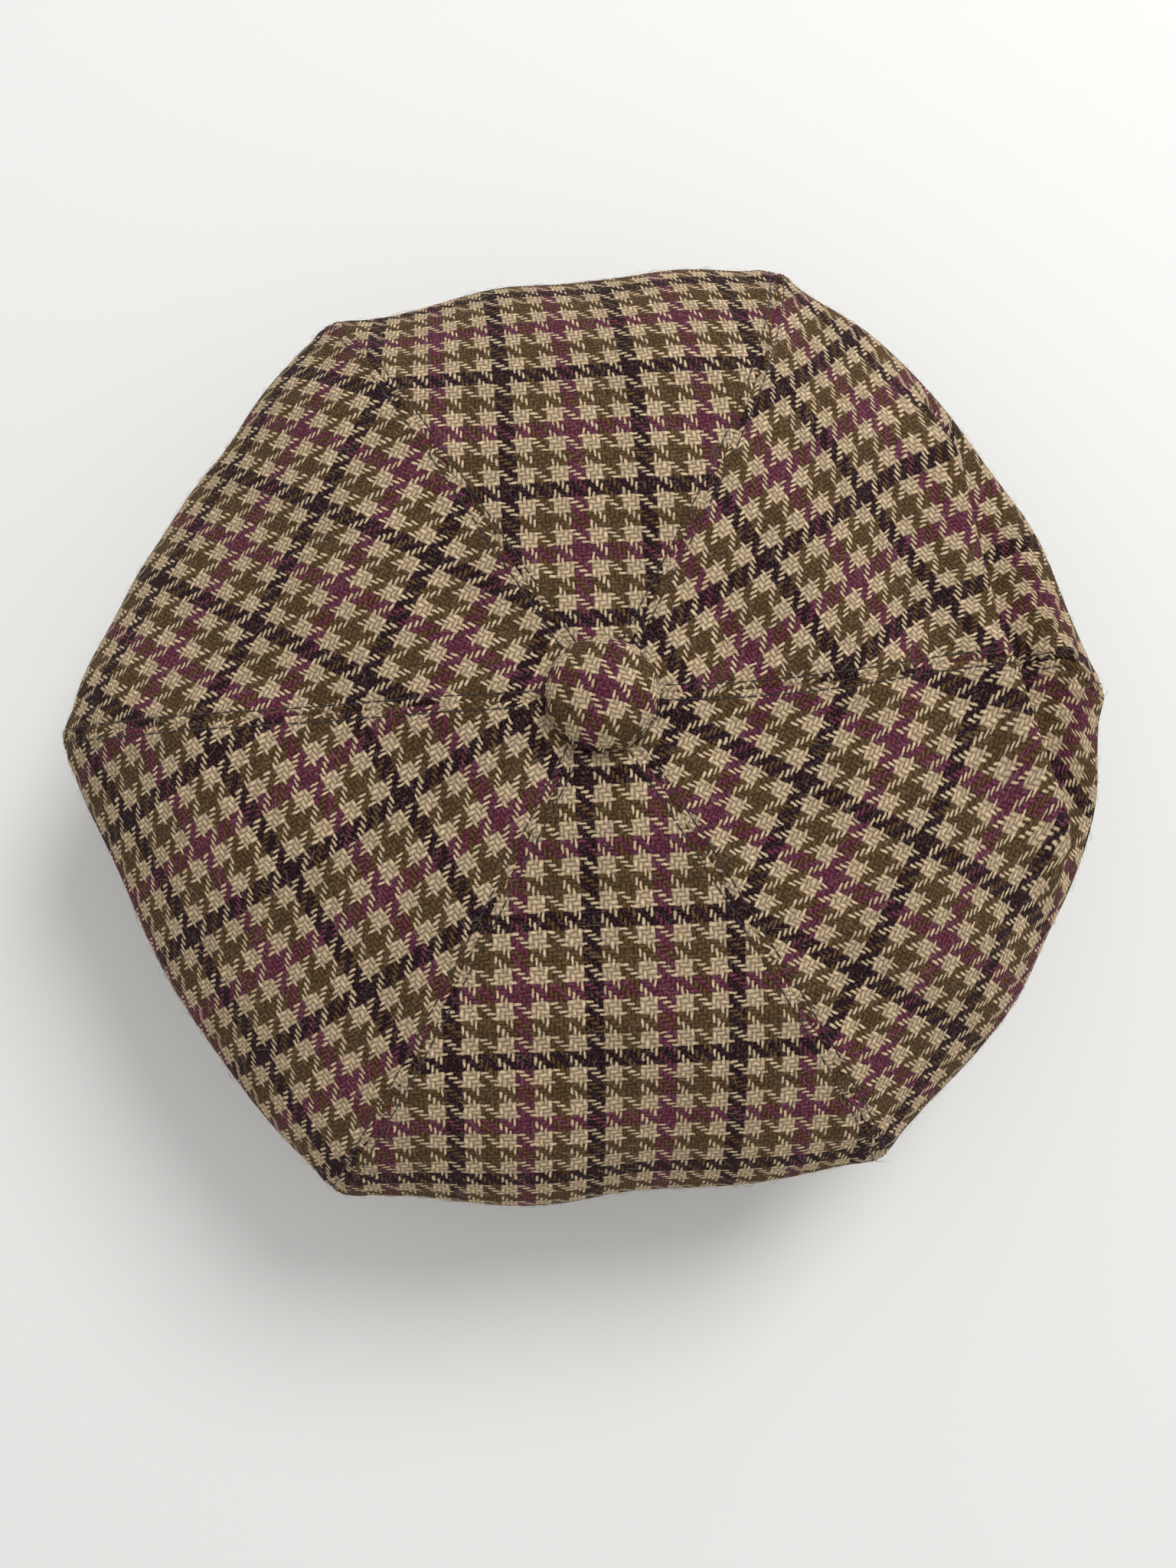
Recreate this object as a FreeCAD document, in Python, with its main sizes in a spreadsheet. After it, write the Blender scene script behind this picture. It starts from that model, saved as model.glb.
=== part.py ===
"""Newsboy cap: six tweed crown gores over a headband, a stiffened peak and a cloth-covered button.

Frame: +Z up, the peak points along -Y, the button stands on the Z axis, and the origin is the middle of
the head opening in the plane of the headband's lower edge. Millimetres and degrees.
"""

import FreeCAD
import Part

import math
import os

from FreeCAD import Rotation, Vector

# name: (value, meaning)
DIMENSIONS = {
    "opening_width": (166, "head opening, side to side, inside the sweatband"),
    "opening_length": (198, "head opening, front to back, inside the sweatband"),
    "layer_gap": (0.15, "clearance between sewn layers"),
    "sweatband_thickness": (1.0, "ribbed ribbon inside the headband"),
    "sweatband_setback": (1.0, "inner layers stop this far inside the headband's edges"),
    "buckram_thickness": (0.8, "woven stiffener in the headband"),
    "cloth_thickness": (1.6, "tweed"),
    "band_height": (30, "headband, lower edge to crown"),
    "front_rise": (9, "the headband's lower edge arches up by this at the front"),
    "crown_corner_radius": (148, "button axis to the rim, at a seam"),
    "crown_side_radius": (135, "button axis to the rim, at the middle of a gore"),
    "crown_dome": (46, "rim to top of the crown"),
    "crown_hang": (22, "headband top up to the rim"),
    "seam_gap": (0.4, "clearance between neighbouring gores"),
    "tip_hole": (4, "radius of the hole where the gore tips meet"),
    "lining_gap": (1.6, "the lining hangs this far inside the tweed"),
    "lining_thickness": (0.8, "satin lining"),
    "stitch_offset": (2.0, "seam line to each row of topstitching"),
    "thread_width": (0.6, "topstitching thread"),
    "thread_lift": (0.1, "gap under the topstitching thread"),
    "peak_projection": (48, "how far the peak stands in front of the headband"),
    "peak_outline_radius": (80, "the peak's outer edge is an arc of this radius"),
    "peak_gap": (1.2, "clearance between peak and headband"),
    "peak_slope": (6, "the peak slopes down towards its edge by this many degrees"),
    "peak_cloth": (1.3, "tweed on each side of the peak"),
    "peak_board": (1.8, "stiffener board in the peak"),
    "peak_hem": (2.5, "the board ends this far inside the peak's edge"),
    "peak_stitch_inset": (5, "peak edge to its topstitching"),
    "button_diameter": (29, "covered button"),
    "button_height": (8.5, "covered button, underside to top"),
    "button_gap": (0.7, "crown to the button's underside"),
    "button_cloth": (1.4, "tweed over the button"),
    "button_shell_wall": (0.5, "pressed shell of the button"),
    "button_back": (1.0, "thickness of the button's back plate"),
    "button_back_gap": (0.4, "back plate to the shell around it"),
    "shank_radius": (2.0, "bundle of thread that holds the button"),
    "shank_gap": (0.6, "thread bundle to the holes around it"),
    "shank_tail": (0.8, "how far the bundle stands out past the parts that it holds"),
    "tip_disc_radius": (15, "reinforcing disc under the gore tips"),
    "tip_disc_thickness": (0.6, "reinforcing disc"),
    "tip_disc_drop": (0.4, "tweed down to the reinforcing disc"),
}

GORES = ["front_left", "left", "back_left", "back_right", "right", "front_right"]
GORE_ANGLE = 360 / len(GORES)
FRONT_SEAM = -90

# Formulas of lengths that several pieces share.
BUCKRAM_IN = "(sizes.sweatband_thickness + sizes.layer_gap)"
BUCKRAM_OUT = f"({BUCKRAM_IN} + sizes.buckram_thickness)"
BAND_IN = f"({BUCKRAM_OUT} + sizes.layer_gap)"
BAND_OUT = f"({BAND_IN} + sizes.cloth_thickness)"
BAND_HALF_WIDTH = f"(sizes.opening_width / 2 + {BAND_OUT})"
BAND_HALF_LENGTH = f"(sizes.opening_length / 2 + {BAND_OUT})"
ARCH_RADIUS = f"(({BAND_HALF_WIDTH} ^ 2 + sizes.front_rise ^ 2) / (2 * sizes.front_rise))"
BOARD_LOW = "(sizes.peak_cloth + sizes.layer_gap)"
BOARD_HIGH = f"({BOARD_LOW} + sizes.peak_board)"
TOP_COVER_LOW = f"({BOARD_HIGH} + sizes.layer_gap)"
TOP_COVER_HIGH = f"({TOP_COVER_LOW} + sizes.peak_cloth)"
RIM_HEIGHT = "(sizes.band_height + sizes.layer_gap + sizes.crown_hang)"
CROWN_TOP = f"({RIM_HEIGHT} + sizes.crown_dome)"
BUTTON_BASE = f"({CROWN_TOP} + sizes.button_gap)"
TIP_DISC_TOP = f"({CROWN_TOP} - sizes.cloth_thickness - sizes.tip_disc_drop)"

doc = FreeCAD.newDocument("newsboy_cap")
sheet = doc.addObject("Spreadsheet::Sheet", "sizes")
for row, (name, (value, meaning)) in enumerate(DIMENSIONS.items(), start=1):
    sheet.set(f"A{row}", name)
    sheet.set(f"B{row}", str(value))
    sheet.set(f"C{row}", meaning)
    sheet.setAlias(f"B{row}", name)
doc.recompute()

pieces = {}


def size(name):
    return float(sheet.get(name))


def keep(label, obj):
    """Registers an object as a sub-part of the cap."""
    obj.Label = label
    pieces[label] = obj


def add(kind, name, **formulas):
    """Adds an object and ties its properties to formulas of the sheet's sizes."""
    obj = doc.addObject(kind, name)
    for prop, formula in formulas.items():
        obj.setExpression(prop, formula)
    return obj


def cut(name, base, tool):
    result = doc.addObject("Part::Cut", name)
    result.Base = base
    result.Tool = tool
    return result


def oval_column(name, growth, low, high):
    """A column over the head opening's ellipse, grown all round, between two heights."""
    half_width = f"(sizes.opening_width / 2 + {growth})"
    half_length = f"(sizes.opening_length / 2 + {growth})"
    outline = add(
        "Part::Ellipse",
        f"{name}_outline",
        MajorRadius=f"max({half_length}; {half_width})",
        MinorRadius=f"min({half_length}; {half_width})",
    )
    outline.Placement.Rotation = Rotation(Vector(0, 0, 1), 90)
    outline.setExpression(
        ".Placement.Rotation.Angle", "sizes.opening_length >= sizes.opening_width ? 90 : 0"
    )
    outline.setExpression(".Placement.Base.z", low)
    column = add("Part::Extrusion", f"{name}_column", LengthFwd=f"{high} - ({low})")
    column.Base = outline
    column.Dir = Vector(0, 0, 1)
    column.Solid = True
    return column


def upright_cylinder(name, radius, low, high):
    cylinder = add("Part::Cylinder", name, Radius=radius, Height=f"{high} - ({low})")
    cylinder.setExpression(".Placement.Base.z", low)
    return cylinder


def washer(name, radius, hole, low, high):
    disc = upright_cylinder(f"{name}_disc", radius, low, high)
    return cut(name, disc, upright_cylinder(f"{name}_hole", hole, low, high))


# ---- Headband: sweatband, buckram and tweed, one oval inside the other, arched up over the peak ----


def band_layer(label, inner, outer, setback):
    """One layer of the headband, its edges inside the headband's own by the setback."""
    high = f"(sizes.band_height - {setback})"
    outside = oval_column(f"{label}_outer", outer, setback, high)
    ring = cut(f"{label}_ring", outside, oval_column(f"{label}_inner", inner, setback, high))
    arch = add(
        "Part::Cylinder", f"{label}_arch", Radius=ARCH_RADIUS, Height="2 * sizes.opening_length"
    )
    arch.Placement.Rotation = Rotation(Vector(1, 0, 0), 90)
    arch.setExpression(".Placement.Base.z", f"sizes.front_rise + {setback} - {ARCH_RADIUS}")
    keep(label, cut(label, ring, arch))


def make_headband():
    band_layer("sweatband", "0", "sizes.sweatband_thickness", "sizes.sweatband_setback")
    band_layer("headband_buckram", BUCKRAM_IN, BUCKRAM_OUT, "sizes.sweatband_setback")
    band_layer("headband", BAND_IN, BAND_OUT, "0")


# ---- Peak: two tweed covers with a board between them, bent over the headband's front arch ----

PEAK_HEIGHT = "sizes.band_height"


def peak_crescent(name, outer_inset, inner_inset):
    """A tall column over the peak's crescent, its edge and its root moved inwards by the insets."""
    edge = upright_cylinder(
        f"{name}_edge", f"sizes.peak_outline_radius - {outer_inset}", f"-{PEAK_HEIGHT}", PEAK_HEIGHT
    )
    edge.setExpression(
        ".Placement.Base.y",
        f"sizes.peak_outline_radius - {BAND_HALF_LENGTH} - sizes.peak_gap - sizes.peak_projection",
    )
    growth = f"({BAND_OUT} + sizes.peak_gap + {inner_inset})"
    root = oval_column(f"{name}_root", growth, f"-{PEAK_HEIGHT}", PEAK_HEIGHT)
    return cut(f"{name}_plan", edge, root)


def arched_layer(name, low, high):
    """A thick sheet over the front arch, sloping down forwards, between two heights above the underside."""
    layers = []
    for side, height in (("top", high), ("underside", low)):
        layer = add(
            "Part::Cylinder",
            f"{name}_{side}",
            Radius=f"{ARCH_RADIUS} + {height}",
            Height="3 * sizes.opening_length",
        )
        layer.Placement.Rotation = Rotation(Vector(1, 0, 0), 90)
        layer.setExpression(".Placement.Rotation.Angle", "90 + sizes.peak_slope")
        layer.setExpression(".Placement.Base.y", "sizes.opening_length")
        layer.setExpression(
            ".Placement.Base.z",
            f"sizes.front_rise - {ARCH_RADIUS} / cos(sizes.peak_slope)"
            f" + (sizes.opening_length + {BAND_HALF_LENGTH}) * tan(sizes.peak_slope)",
        )
        layers.append(layer)
    return cut(f"{name}_layer", *layers)


def peak_piece(label, low, high, plan):
    piece = doc.addObject("Part::Common", label)
    piece.Base = arched_layer(label, low, high)
    piece.Tool = plan
    keep(label, piece)


def make_peak():
    peak_piece("peak_under_cover", "0", "sizes.peak_cloth", peak_crescent("under", "0", "0"))
    peak_piece("peak_top_cover", TOP_COVER_LOW, TOP_COVER_HIGH, peak_crescent("top", "0", "0"))
    board_plan = peak_crescent("board", "sizes.peak_hem", "sizes.peak_hem")
    peak_piece("peak_board", BOARD_LOW, BOARD_HIGH, board_plan)
    thread_low = f"({TOP_COVER_HIGH} + sizes.thread_lift)"
    outside = peak_crescent("thread", "sizes.peak_stitch_inset", "sizes.peak_stitch_inset")
    past_thread = "(sizes.peak_stitch_inset + sizes.thread_width)"
    inside = peak_crescent("thread_inner", past_thread, "0")
    thread_plan = cut("thread_line", outside, inside)
    peak_piece(
        "peak_topstitching", thread_low, f"({thread_low} + sizes.thread_width)", thread_plan
    )


# ---- Crown: gores, lining and topstitching, all sheets between two depths under one curved face ----

TOP_STEPS = 20
UNDER_STEPS = 10
ACROSS_STEPS = 12
SEWING_TOLERANCE = 0.001
# Places along the crown, as crown_point counts them: the headband, and the topstitching's end short of it.
AT_BAND = 2
STITCH_END = 1.85


def band_out():
    """How far the headband's outer face stands outside the head opening."""
    layers = size("sweatband_thickness") + size("buckram_thickness") + size("cloth_thickness")
    return layers + 2 * size("layer_gap")


def crown_point(angle, travel, depth):
    """A point under the crown's outer face by depth: travel is 0 at the top, 1 at the rim, 2 at the band."""
    from_middle = (angle - FRONT_SEAM) % GORE_ANGLE - GORE_ANGLE / 2
    towards_seam = (from_middle / (GORE_ANGLE / 2)) ** 2
    reach = size("crown_corner_radius") - size("crown_side_radius")
    rim = size("crown_side_radius") + reach * towards_seam - depth
    rim_height = size("band_height") + size("layer_gap") + size("crown_hang")
    turn = math.radians(angle)
    if travel <= 1:
        bend = math.radians(90 * travel)
        radius = rim * math.sin(bend)
        height = rim_height + (size("crown_dome") - depth) * math.cos(bend)
    else:
        bend = math.radians(90 * (travel - 1))
        half_width = size("opening_width") / 2 + band_out() / 2
        half_length = size("opening_length") / 2 + band_out() / 2
        band = 1 / math.hypot(math.cos(turn) / half_width, math.sin(turn) / half_length)
        radius = band + (rim - band) * math.cos(bend)
        height = rim_height - (size("crown_hang") - depth) * math.sin(bend)
    return Vector(radius * math.cos(turn), radius * math.sin(turn), height)


def beside_seam(seam, offset, travel):
    """The angle of the point that lies beside a seam by offset."""
    on_seam = crown_point(seam, travel, 0)
    return seam + math.degrees(math.asin(offset / math.hypot(on_seam.x, on_seam.y)))


def travels(inner_radius, last):
    """Travel values from a circle round the button's axis over the rim to the last, the rim among them."""
    start = math.degrees(math.asin(inner_radius / size("crown_corner_radius"))) / 90
    top = [start + (1 - start) * step / TOP_STEPS for step in range(TOP_STEPS)]
    under = [1 + (last - 1) * step / UNDER_STEPS for step in range(UNDER_STEPS + 1)]
    return top + under


def crown_solid(low_line, high_line, rows, outer, inner, steps):
    """Crown cloth between two lines, each a seam's angle and an offset beside it, and two depths."""
    faces = []
    for depth in (outer, inner):
        grid = []
        for travel in rows:
            low = beside_seam(*low_line, travel)
            high = beside_seam(*high_line, travel)
            angles = [low + (high - low) * step / steps for step in range(steps + 1)]
            grid.append([crown_point(angle, travel, depth) for angle in angles])
        surface = Part.BSplineSurface()
        surface.interpolate(grid)
        faces.append(surface.toShape())
    walls = []
    for outer_edge, inner_edge in zip(faces[0].Edges, faces[1].Edges):
        wall = Part.makeLoft([Part.Wire(outer_edge), Part.Wire(inner_edge)], False, True)
        walls.extend(wall.Faces)
    skin = Part.Compound(faces + walls)
    skin.sewShape(SEWING_TOLERANCE)
    solid = Part.makeSolid(skin.Shells[0])
    if solid.Volume < 0:
        solid.reverse()
    return solid


def add_shape(label, shape):
    feature = doc.addObject("Part::Feature", label)
    feature.Shape = shape
    feature.Placement = FreeCAD.Placement()
    keep(label, feature)


def make_gores(kind, outer, inner):
    """Six gores from the tip hole to the headband."""
    half_gap = size("seam_gap") / 2
    rows = travels(size("tip_hole"), AT_BAND)
    for index, gore in enumerate(GORES):
        seam = FRONT_SEAM + index * GORE_ANGLE
        low_line = (seam, half_gap)
        high_line = (seam + GORE_ANGLE, -half_gap)
        solid = crown_solid(low_line, high_line, rows, outer, inner, ACROSS_STEPS)
        add_shape(f"{kind}_{gore}", solid)


def make_crown():
    lining = size("cloth_thickness") + size("lining_gap")
    make_gores("crown_panel", 0, size("cloth_thickness"))
    make_gores("lining_panel", lining, lining + size("lining_thickness"))


def make_crown_topstitching():
    """A row of thread each side of every crown seam, from the button round the rim to near the headband."""
    rows = travels(size("button_diameter") / 2 + size("button_gap"), STITCH_END)
    near = size("stitch_offset") - size("thread_width") / 2
    far = size("stitch_offset") + size("thread_width") / 2
    under = -size("thread_lift")
    over = under - size("thread_width")
    threads = []
    for index in range(len(GORES)):
        seam = FRONT_SEAM + index * GORE_ANGLE
        for low, high in ((near, far), (-far, -near)):
            threads.append(crown_solid((seam, low), (seam, high), rows, over, under, 1))
    add_shape("crown_topstitching", Part.makeCompound(threads))


# ---- Button: tweed over a pressed shell with a back plate, held by a bundle of thread ----

SHANK_HOLE = "(sizes.shank_radius + sizes.shank_gap)"
SHELL_INSET = "(sizes.button_cloth + sizes.layer_gap)"
CAVITY_INSET = f"({SHELL_INSET} + sizes.button_shell_wall)"


def button_dome(name, inset):
    """The upper half of the button's ellipsoid, its face moved inwards by inset."""
    half_width = f"sizes.button_diameter / 2 - {inset}"
    dome = add(
        "Part::Ellipsoid",
        name,
        Radius1=f"sizes.button_height - {inset}",
        Radius2=half_width,
        Radius3=half_width,
    )
    dome.Angle1 = 0
    dome.setExpression(".Placement.Base.z", BUTTON_BASE)
    return dome


def button_layer(label, outer_inset, inner_inset):
    outside = button_dome(f"{label}_outside", outer_inset)
    keep(label, cut(label, outside, button_dome(f"{label}_inside", inner_inset)))


def make_button():
    button_layer("button_cover", "0", "sizes.button_cloth")
    button_layer("button_shell", SHELL_INSET, CAVITY_INSET)
    plate_radius = f"sizes.button_diameter / 2 - {CAVITY_INSET} - sizes.button_back_gap"
    plate_top = f"({BUTTON_BASE} + sizes.button_back)"
    plate = washer("button_back_plate", plate_radius, SHANK_HOLE, BUTTON_BASE, plate_top)
    keep("button_back_plate", plate)
    disc_bottom = f"({TIP_DISC_TOP} - sizes.tip_disc_thickness)"
    disc = washer("crown_tip_disc", "sizes.tip_disc_radius", SHANK_HOLE, disc_bottom, TIP_DISC_TOP)
    keep("crown_tip_disc", disc)
    shank_bottom = f"({disc_bottom} - sizes.shank_tail)"
    shank_top = f"({plate_top} + sizes.shank_tail)"
    shank = upright_cylinder("button_shank_thread", "sizes.shank_radius", shank_bottom, shank_top)
    keep("button_shank_thread", shank)


def check_document():
    """Stops if an object of the document failed or a sub-part has no sound shape."""
    for obj in doc.Objects:
        if "Invalid" in obj.State or "Error" in obj.State:
            raise RuntimeError(f"{obj.Label} failed: {obj.State}")
    for label, obj in pieces.items():
        shape = obj.Shape
        if shape.isNull() or not shape.isValid() or shape.Volume <= 0:
            raise RuntimeError(f"{label} has no sound shape")


def export_pieces():
    os.makedirs("parts", exist_ok=True)
    for label, obj in pieces.items():
        obj.Shape.exportStep(f"parts/{label}.step")
        print(f"{label}: {obj.Shape.Volume / 1000:.2f} cm3, solids {len(obj.Shape.Solids)}")


make_headband()
make_peak()
make_crown()
make_crown_topstitching()
make_button()
doc.recompute()
check_document()
export_pieces()
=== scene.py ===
"""Looks of the newsboy cap: tweed crown, button, headband, peak, lining and sweatband around the CAD frame.

Metres, +Z up, the peak points along -Y. Crown places are (angle, travel): the angle about +Z in degrees, and
travel 0 at the top, 1 at the rim and 2 at the headband, as in the CAD model.
"""

import math

import bpy
import numpy as np
from mathutils import Matrix, Vector


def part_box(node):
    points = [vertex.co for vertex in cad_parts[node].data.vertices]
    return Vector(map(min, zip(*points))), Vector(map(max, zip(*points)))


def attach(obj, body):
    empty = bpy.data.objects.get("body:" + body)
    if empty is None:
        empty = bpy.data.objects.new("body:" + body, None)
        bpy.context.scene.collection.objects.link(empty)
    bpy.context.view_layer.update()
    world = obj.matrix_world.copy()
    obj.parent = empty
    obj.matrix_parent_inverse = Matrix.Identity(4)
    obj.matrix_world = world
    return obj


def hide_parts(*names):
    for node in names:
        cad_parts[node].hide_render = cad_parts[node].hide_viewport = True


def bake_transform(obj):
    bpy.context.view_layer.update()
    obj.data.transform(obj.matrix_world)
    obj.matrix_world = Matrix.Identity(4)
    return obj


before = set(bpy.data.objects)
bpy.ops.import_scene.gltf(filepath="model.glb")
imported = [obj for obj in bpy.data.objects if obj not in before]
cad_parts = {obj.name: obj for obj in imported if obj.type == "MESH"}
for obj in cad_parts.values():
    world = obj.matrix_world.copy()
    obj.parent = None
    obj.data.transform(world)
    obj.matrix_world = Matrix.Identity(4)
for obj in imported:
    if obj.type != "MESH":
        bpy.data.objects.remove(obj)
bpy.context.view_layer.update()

MM = 0.001
RANDOM_SEED = 49

# ---- Sizes, from the frame ----

GORES = ["front_left", "left", "back_left", "back_right", "right", "front_right"]
GORE_ANGLE = 60.0
FRONT_SEAM = -90.0
SEAMS = [FRONT_SEAM + index * GORE_ANGLE for index in range(len(GORES))]

BAND_LOW, BAND_HIGH = (Vector(corner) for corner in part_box("headband"))
SWEAT_HIGH = Vector(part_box("sweatband")[1])
BUTTON_LOW, BUTTON_HIGH = (Vector(corner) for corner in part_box("button_cover"))
PEAK_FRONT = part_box("peak_under_cover")[0][1]

CLOTH = 1.5 * MM
BAND_TOP = BAND_HIGH.z
BAND_WALL = BAND_HIGH.x - SWEAT_HIGH.x
CORNER_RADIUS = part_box("crown_panel_back_left")[1][1]
SIDE_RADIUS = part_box("crown_panel_left")[1][0]
RIM_ABOVE_BAND = 22.15 * MM
RIM_HEIGHT = BAND_TOP + RIM_ABOVE_BAND
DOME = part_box("crown_panel_left")[1][2] - RIM_HEIGHT
BAND_MIDDLE = (BAND_HIGH.x - BAND_WALL / 2, BAND_HIGH.y - BAND_WALL / 2)

# ---- Cloth: 2/2 twill in bands of four threads ----

WARP_PITCH = 1.12 * MM
WEFT_PITCH = 1.11 * MM
THREADS_IN_REPEAT = 32
STITCH_ROWS = 2.0 * MM


def smooth(low, high, value):
    """0 below low, 1 above high, and an even rise between them."""
    share = np.clip((value - low) / (high - low), 0.0, 1.0)
    return share * share * (3 - 2 * share)


def bump(distance, width):
    return np.exp(-((distance / width) ** 2))


def waves(x, y, length, seed, count=7):
    """A smooth random field between about -1 and 1, whose waves are about this long."""
    draw = np.random.default_rng(seed)
    total = np.zeros(np.broadcast(x, y).shape)
    for _ in range(count):
        heading = draw.uniform(0, 2 * math.pi)
        turns = 2 * math.pi / (length * draw.uniform(0.7, 1.5))
        along = x * math.cos(heading) + y * math.sin(heading)
        total += np.sin(along * turns + draw.uniform(0, 2 * math.pi))
    return total / math.sqrt(count)


# ---- Crown surface ----


def rim_radius(angle):
    from_middle = (angle - FRONT_SEAM) % GORE_ANGLE - GORE_ANGLE / 2
    towards_seam = (from_middle / (GORE_ANGLE / 2)) ** 2
    return SIDE_RADIUS + (CORNER_RADIUS - SIDE_RADIUS) * towards_seam


def oval_radius(angle, halves):
    turn = np.radians(angle)
    return 1 / np.hypot(np.cos(turn) / halves[0], np.sin(turn) / halves[1])


def base_point(angle, travel):
    """A point on the CAD crown's outer face."""
    turn = np.radians(angle)
    rim = rim_radius(angle)
    over = np.radians(90 * np.clip(travel, 0, 1))
    under = np.radians(90 * np.clip(travel - 1, 0, 1))
    band = oval_radius(angle, BAND_MIDDLE)
    top_radius = rim * np.sin(over)
    top_height = RIM_HEIGHT + DOME * np.cos(over)
    low_radius = band + (rim - band) * np.cos(under)
    low_height = RIM_HEIGHT - RIM_ABOVE_BAND * np.sin(under)
    radius = np.where(travel <= 1, top_radius, low_radius)
    height = np.where(travel <= 1, top_height, low_height)
    return np.stack([radius * np.cos(turn), radius * np.sin(turn), height], axis=-1)


def off_seam(angle, travel):
    """Distance beside the nearest seam, along the cloth."""
    nearest = np.abs((angle - FRONT_SEAM + GORE_ANGLE / 2) % GORE_ANGLE - GORE_ANGLE / 2)
    point = base_point(angle, travel)
    return np.radians(nearest) * np.hypot(point[..., 0], point[..., 1])


def unit(vectors):
    return vectors / np.maximum(np.linalg.norm(vectors, axis=-1, keepdims=True), 1e-12)


def outward(angle, travel, surface=base_point):
    """The crown's outward normal, taken inside the gore so that seams stay crisp."""
    middle = np.floor((angle - FRONT_SEAM) / GORE_ANGLE) * GORE_ANGLE + FRONT_SEAM + GORE_ANGLE / 2
    inner = angle + np.sign(middle - angle) * 0.35
    step = 0.01
    along = surface(inner, np.minimum(travel + step, 2)) - surface(inner, np.maximum(travel - step, 0.005))
    across = surface(inner + 0.3, travel) - surface(inner - 0.3, travel)
    return unit(np.cross(along, across))


PUFF = 1.2 * MM
PUFF_SEAM_WIDTH = 26 * MM
# Height, wave length and random seed of the cloth's slow and quick unevenness.
SLOW_WAVES = (0.9 * MM, 75 * MM, 5)
QUICK_WAVES = (0.2 * MM, 32 * MM, 8)


def soft_relief(angle, travel):
    """How far the cloth bellies out of the CAD crown between its seams."""
    point = base_point(angle, travel)
    x, y = point[..., 0], point[..., 1]
    from_button = np.hypot(x, y)
    fullness = smooth(20 * MM, 90 * MM, from_button) * (1 - smooth(1.3, 1.9, travel))
    puff = PUFF * (1 - bump(off_seam(angle, travel), PUFF_SEAM_WIDTH)) * fullness
    settle = sum(height * waves(x, y, length, seed) for height, length, seed in (SLOW_WAVES, QUICK_WAVES))
    settle = settle * smooth(16 * MM, 45 * MM, from_button) * (1 - smooth(1.5, 1.95, travel))
    return puff + settle


# Height and width of each feature that runs along a seam.
GROOVE = (-0.6 * MM, 0.7 * MM)
STITCH_DENT = (-0.35 * MM, 0.5 * MM)
PUCKER = (0.22 * MM, 9 * MM)
PUCKER_SEED = 3
ALLOWANCE_RISE = 0.35 * MM
ALLOWANCE_EDGE = (5.5 * MM, 7.5 * MM)


def seam_relief(angle, travel):
    """How the tweed sinks at its seams and stitches, and puckers beside them."""
    beside = off_seam(angle, travel)
    point = base_point(angle, travel)
    groove = GROOVE[0] * bump(beside, GROOVE[1])
    allowance = ALLOWANCE_RISE * (1 - smooth(*ALLOWANCE_EDGE, beside))
    stitched = STITCH_DENT[0] * bump(beside - STITCH_ROWS, STITCH_DENT[1])
    ripples = waves(point[..., 0], point[..., 1], PUCKER[1], PUCKER_SEED)
    pucker = PUCKER[0] * ripples * bump(beside, PUCKER[1])
    return groove + allowance + stitched + pucker


# How far the settled rim stands outside the even hexagon, in mm, at each seam and each gore's middle, from
# the front seam round by the wearer's left.
RIM_REACH = [-2, 4, 0, -3, -6, 0, 3, 3, 0, -5, -3, 4]
# Where the strip below the front fold stands out: degrees round from the front seam, how far and how wide.
STRIP_PLACE, STRIP_REACH, STRIP_WIDTH = -14, 5.5 * MM, 11
# How far each seam's lower end has swung round, in degrees, from the front seam round by the wearer's left,
# and how far the front seam leans above the fold.
SEAM_SWING = [0.5, 5.5, 0.5, -1.0, -1.6, -0.5]
FRONT_SEAM_LEAN = 4.0
FRONT_SEAM_LEAN_WIDTH = 22
# The front fold, in mm: places to the wearer's left of the middle, and how far in front of the axis it lies.
FOLD_PLACES = [-45, -15, 15, 45, 85]
FOLD_LINE = [120, 108, 99, 96, 94]
# Where the fold starts and is full at the wearer's right, and where it fades and ends at the left.
FOLD_ENDS = (-62 * MM, -34 * MM, 62 * MM, 98 * MM)
# In front of the fold line: the wall under it, and where the cloth comes back to its own height.
FOLD_WALL = (-1 * MM, 6 * MM)
FOLD_RETURN = (16 * MM, 42 * MM)
# The share of its height above the rim that the cloth drops by, and how far the lip reaches out and rises.
FOLD_DROP = 0.56
LIP_REACH, LIP_RISE = 8.5 * MM, 2.4 * MM
LIP_BACK, LIP_WIDTH = 2.5 * MM, 7 * MM


def around(angle, values):
    """A value at an angle, on a smooth curve through values spaced evenly round from the front seam."""
    place = ((angle - FRONT_SEAM) % 360) / 360 * len(values)
    first = np.floor(place).astype(int)
    share = place - first
    before, low, high, after = (np.array(values)[(first + step) % len(values)] for step in (-1, 0, 1, 2))
    bend = (2 * before - 5 * low + 4 * high - after) * share ** 2
    twist = (3 * low - before - 3 * high + after) * share ** 3
    return low + ((high - before) * share + bend + twist) / 2


def swing(angle, travel):
    """How far the cloth has turned round the axis, in degrees. The front seam leans above the fold."""
    settled = around(angle, SEAM_SWING) * smooth(0.2, 0.95, travel)
    from_front = (angle - FRONT_SEAM + 180) % 360 - 180
    above_fold = smooth(0.1, 0.5, travel) * (1 - smooth(0.68, 0.86, travel))
    leaning = FRONT_SEAM_LEAN * bump(from_front, FRONT_SEAM_LEAN_WIDTH) * above_fold
    return (settled + leaning) * (1 - smooth(1.2, 1.95, travel))


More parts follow.
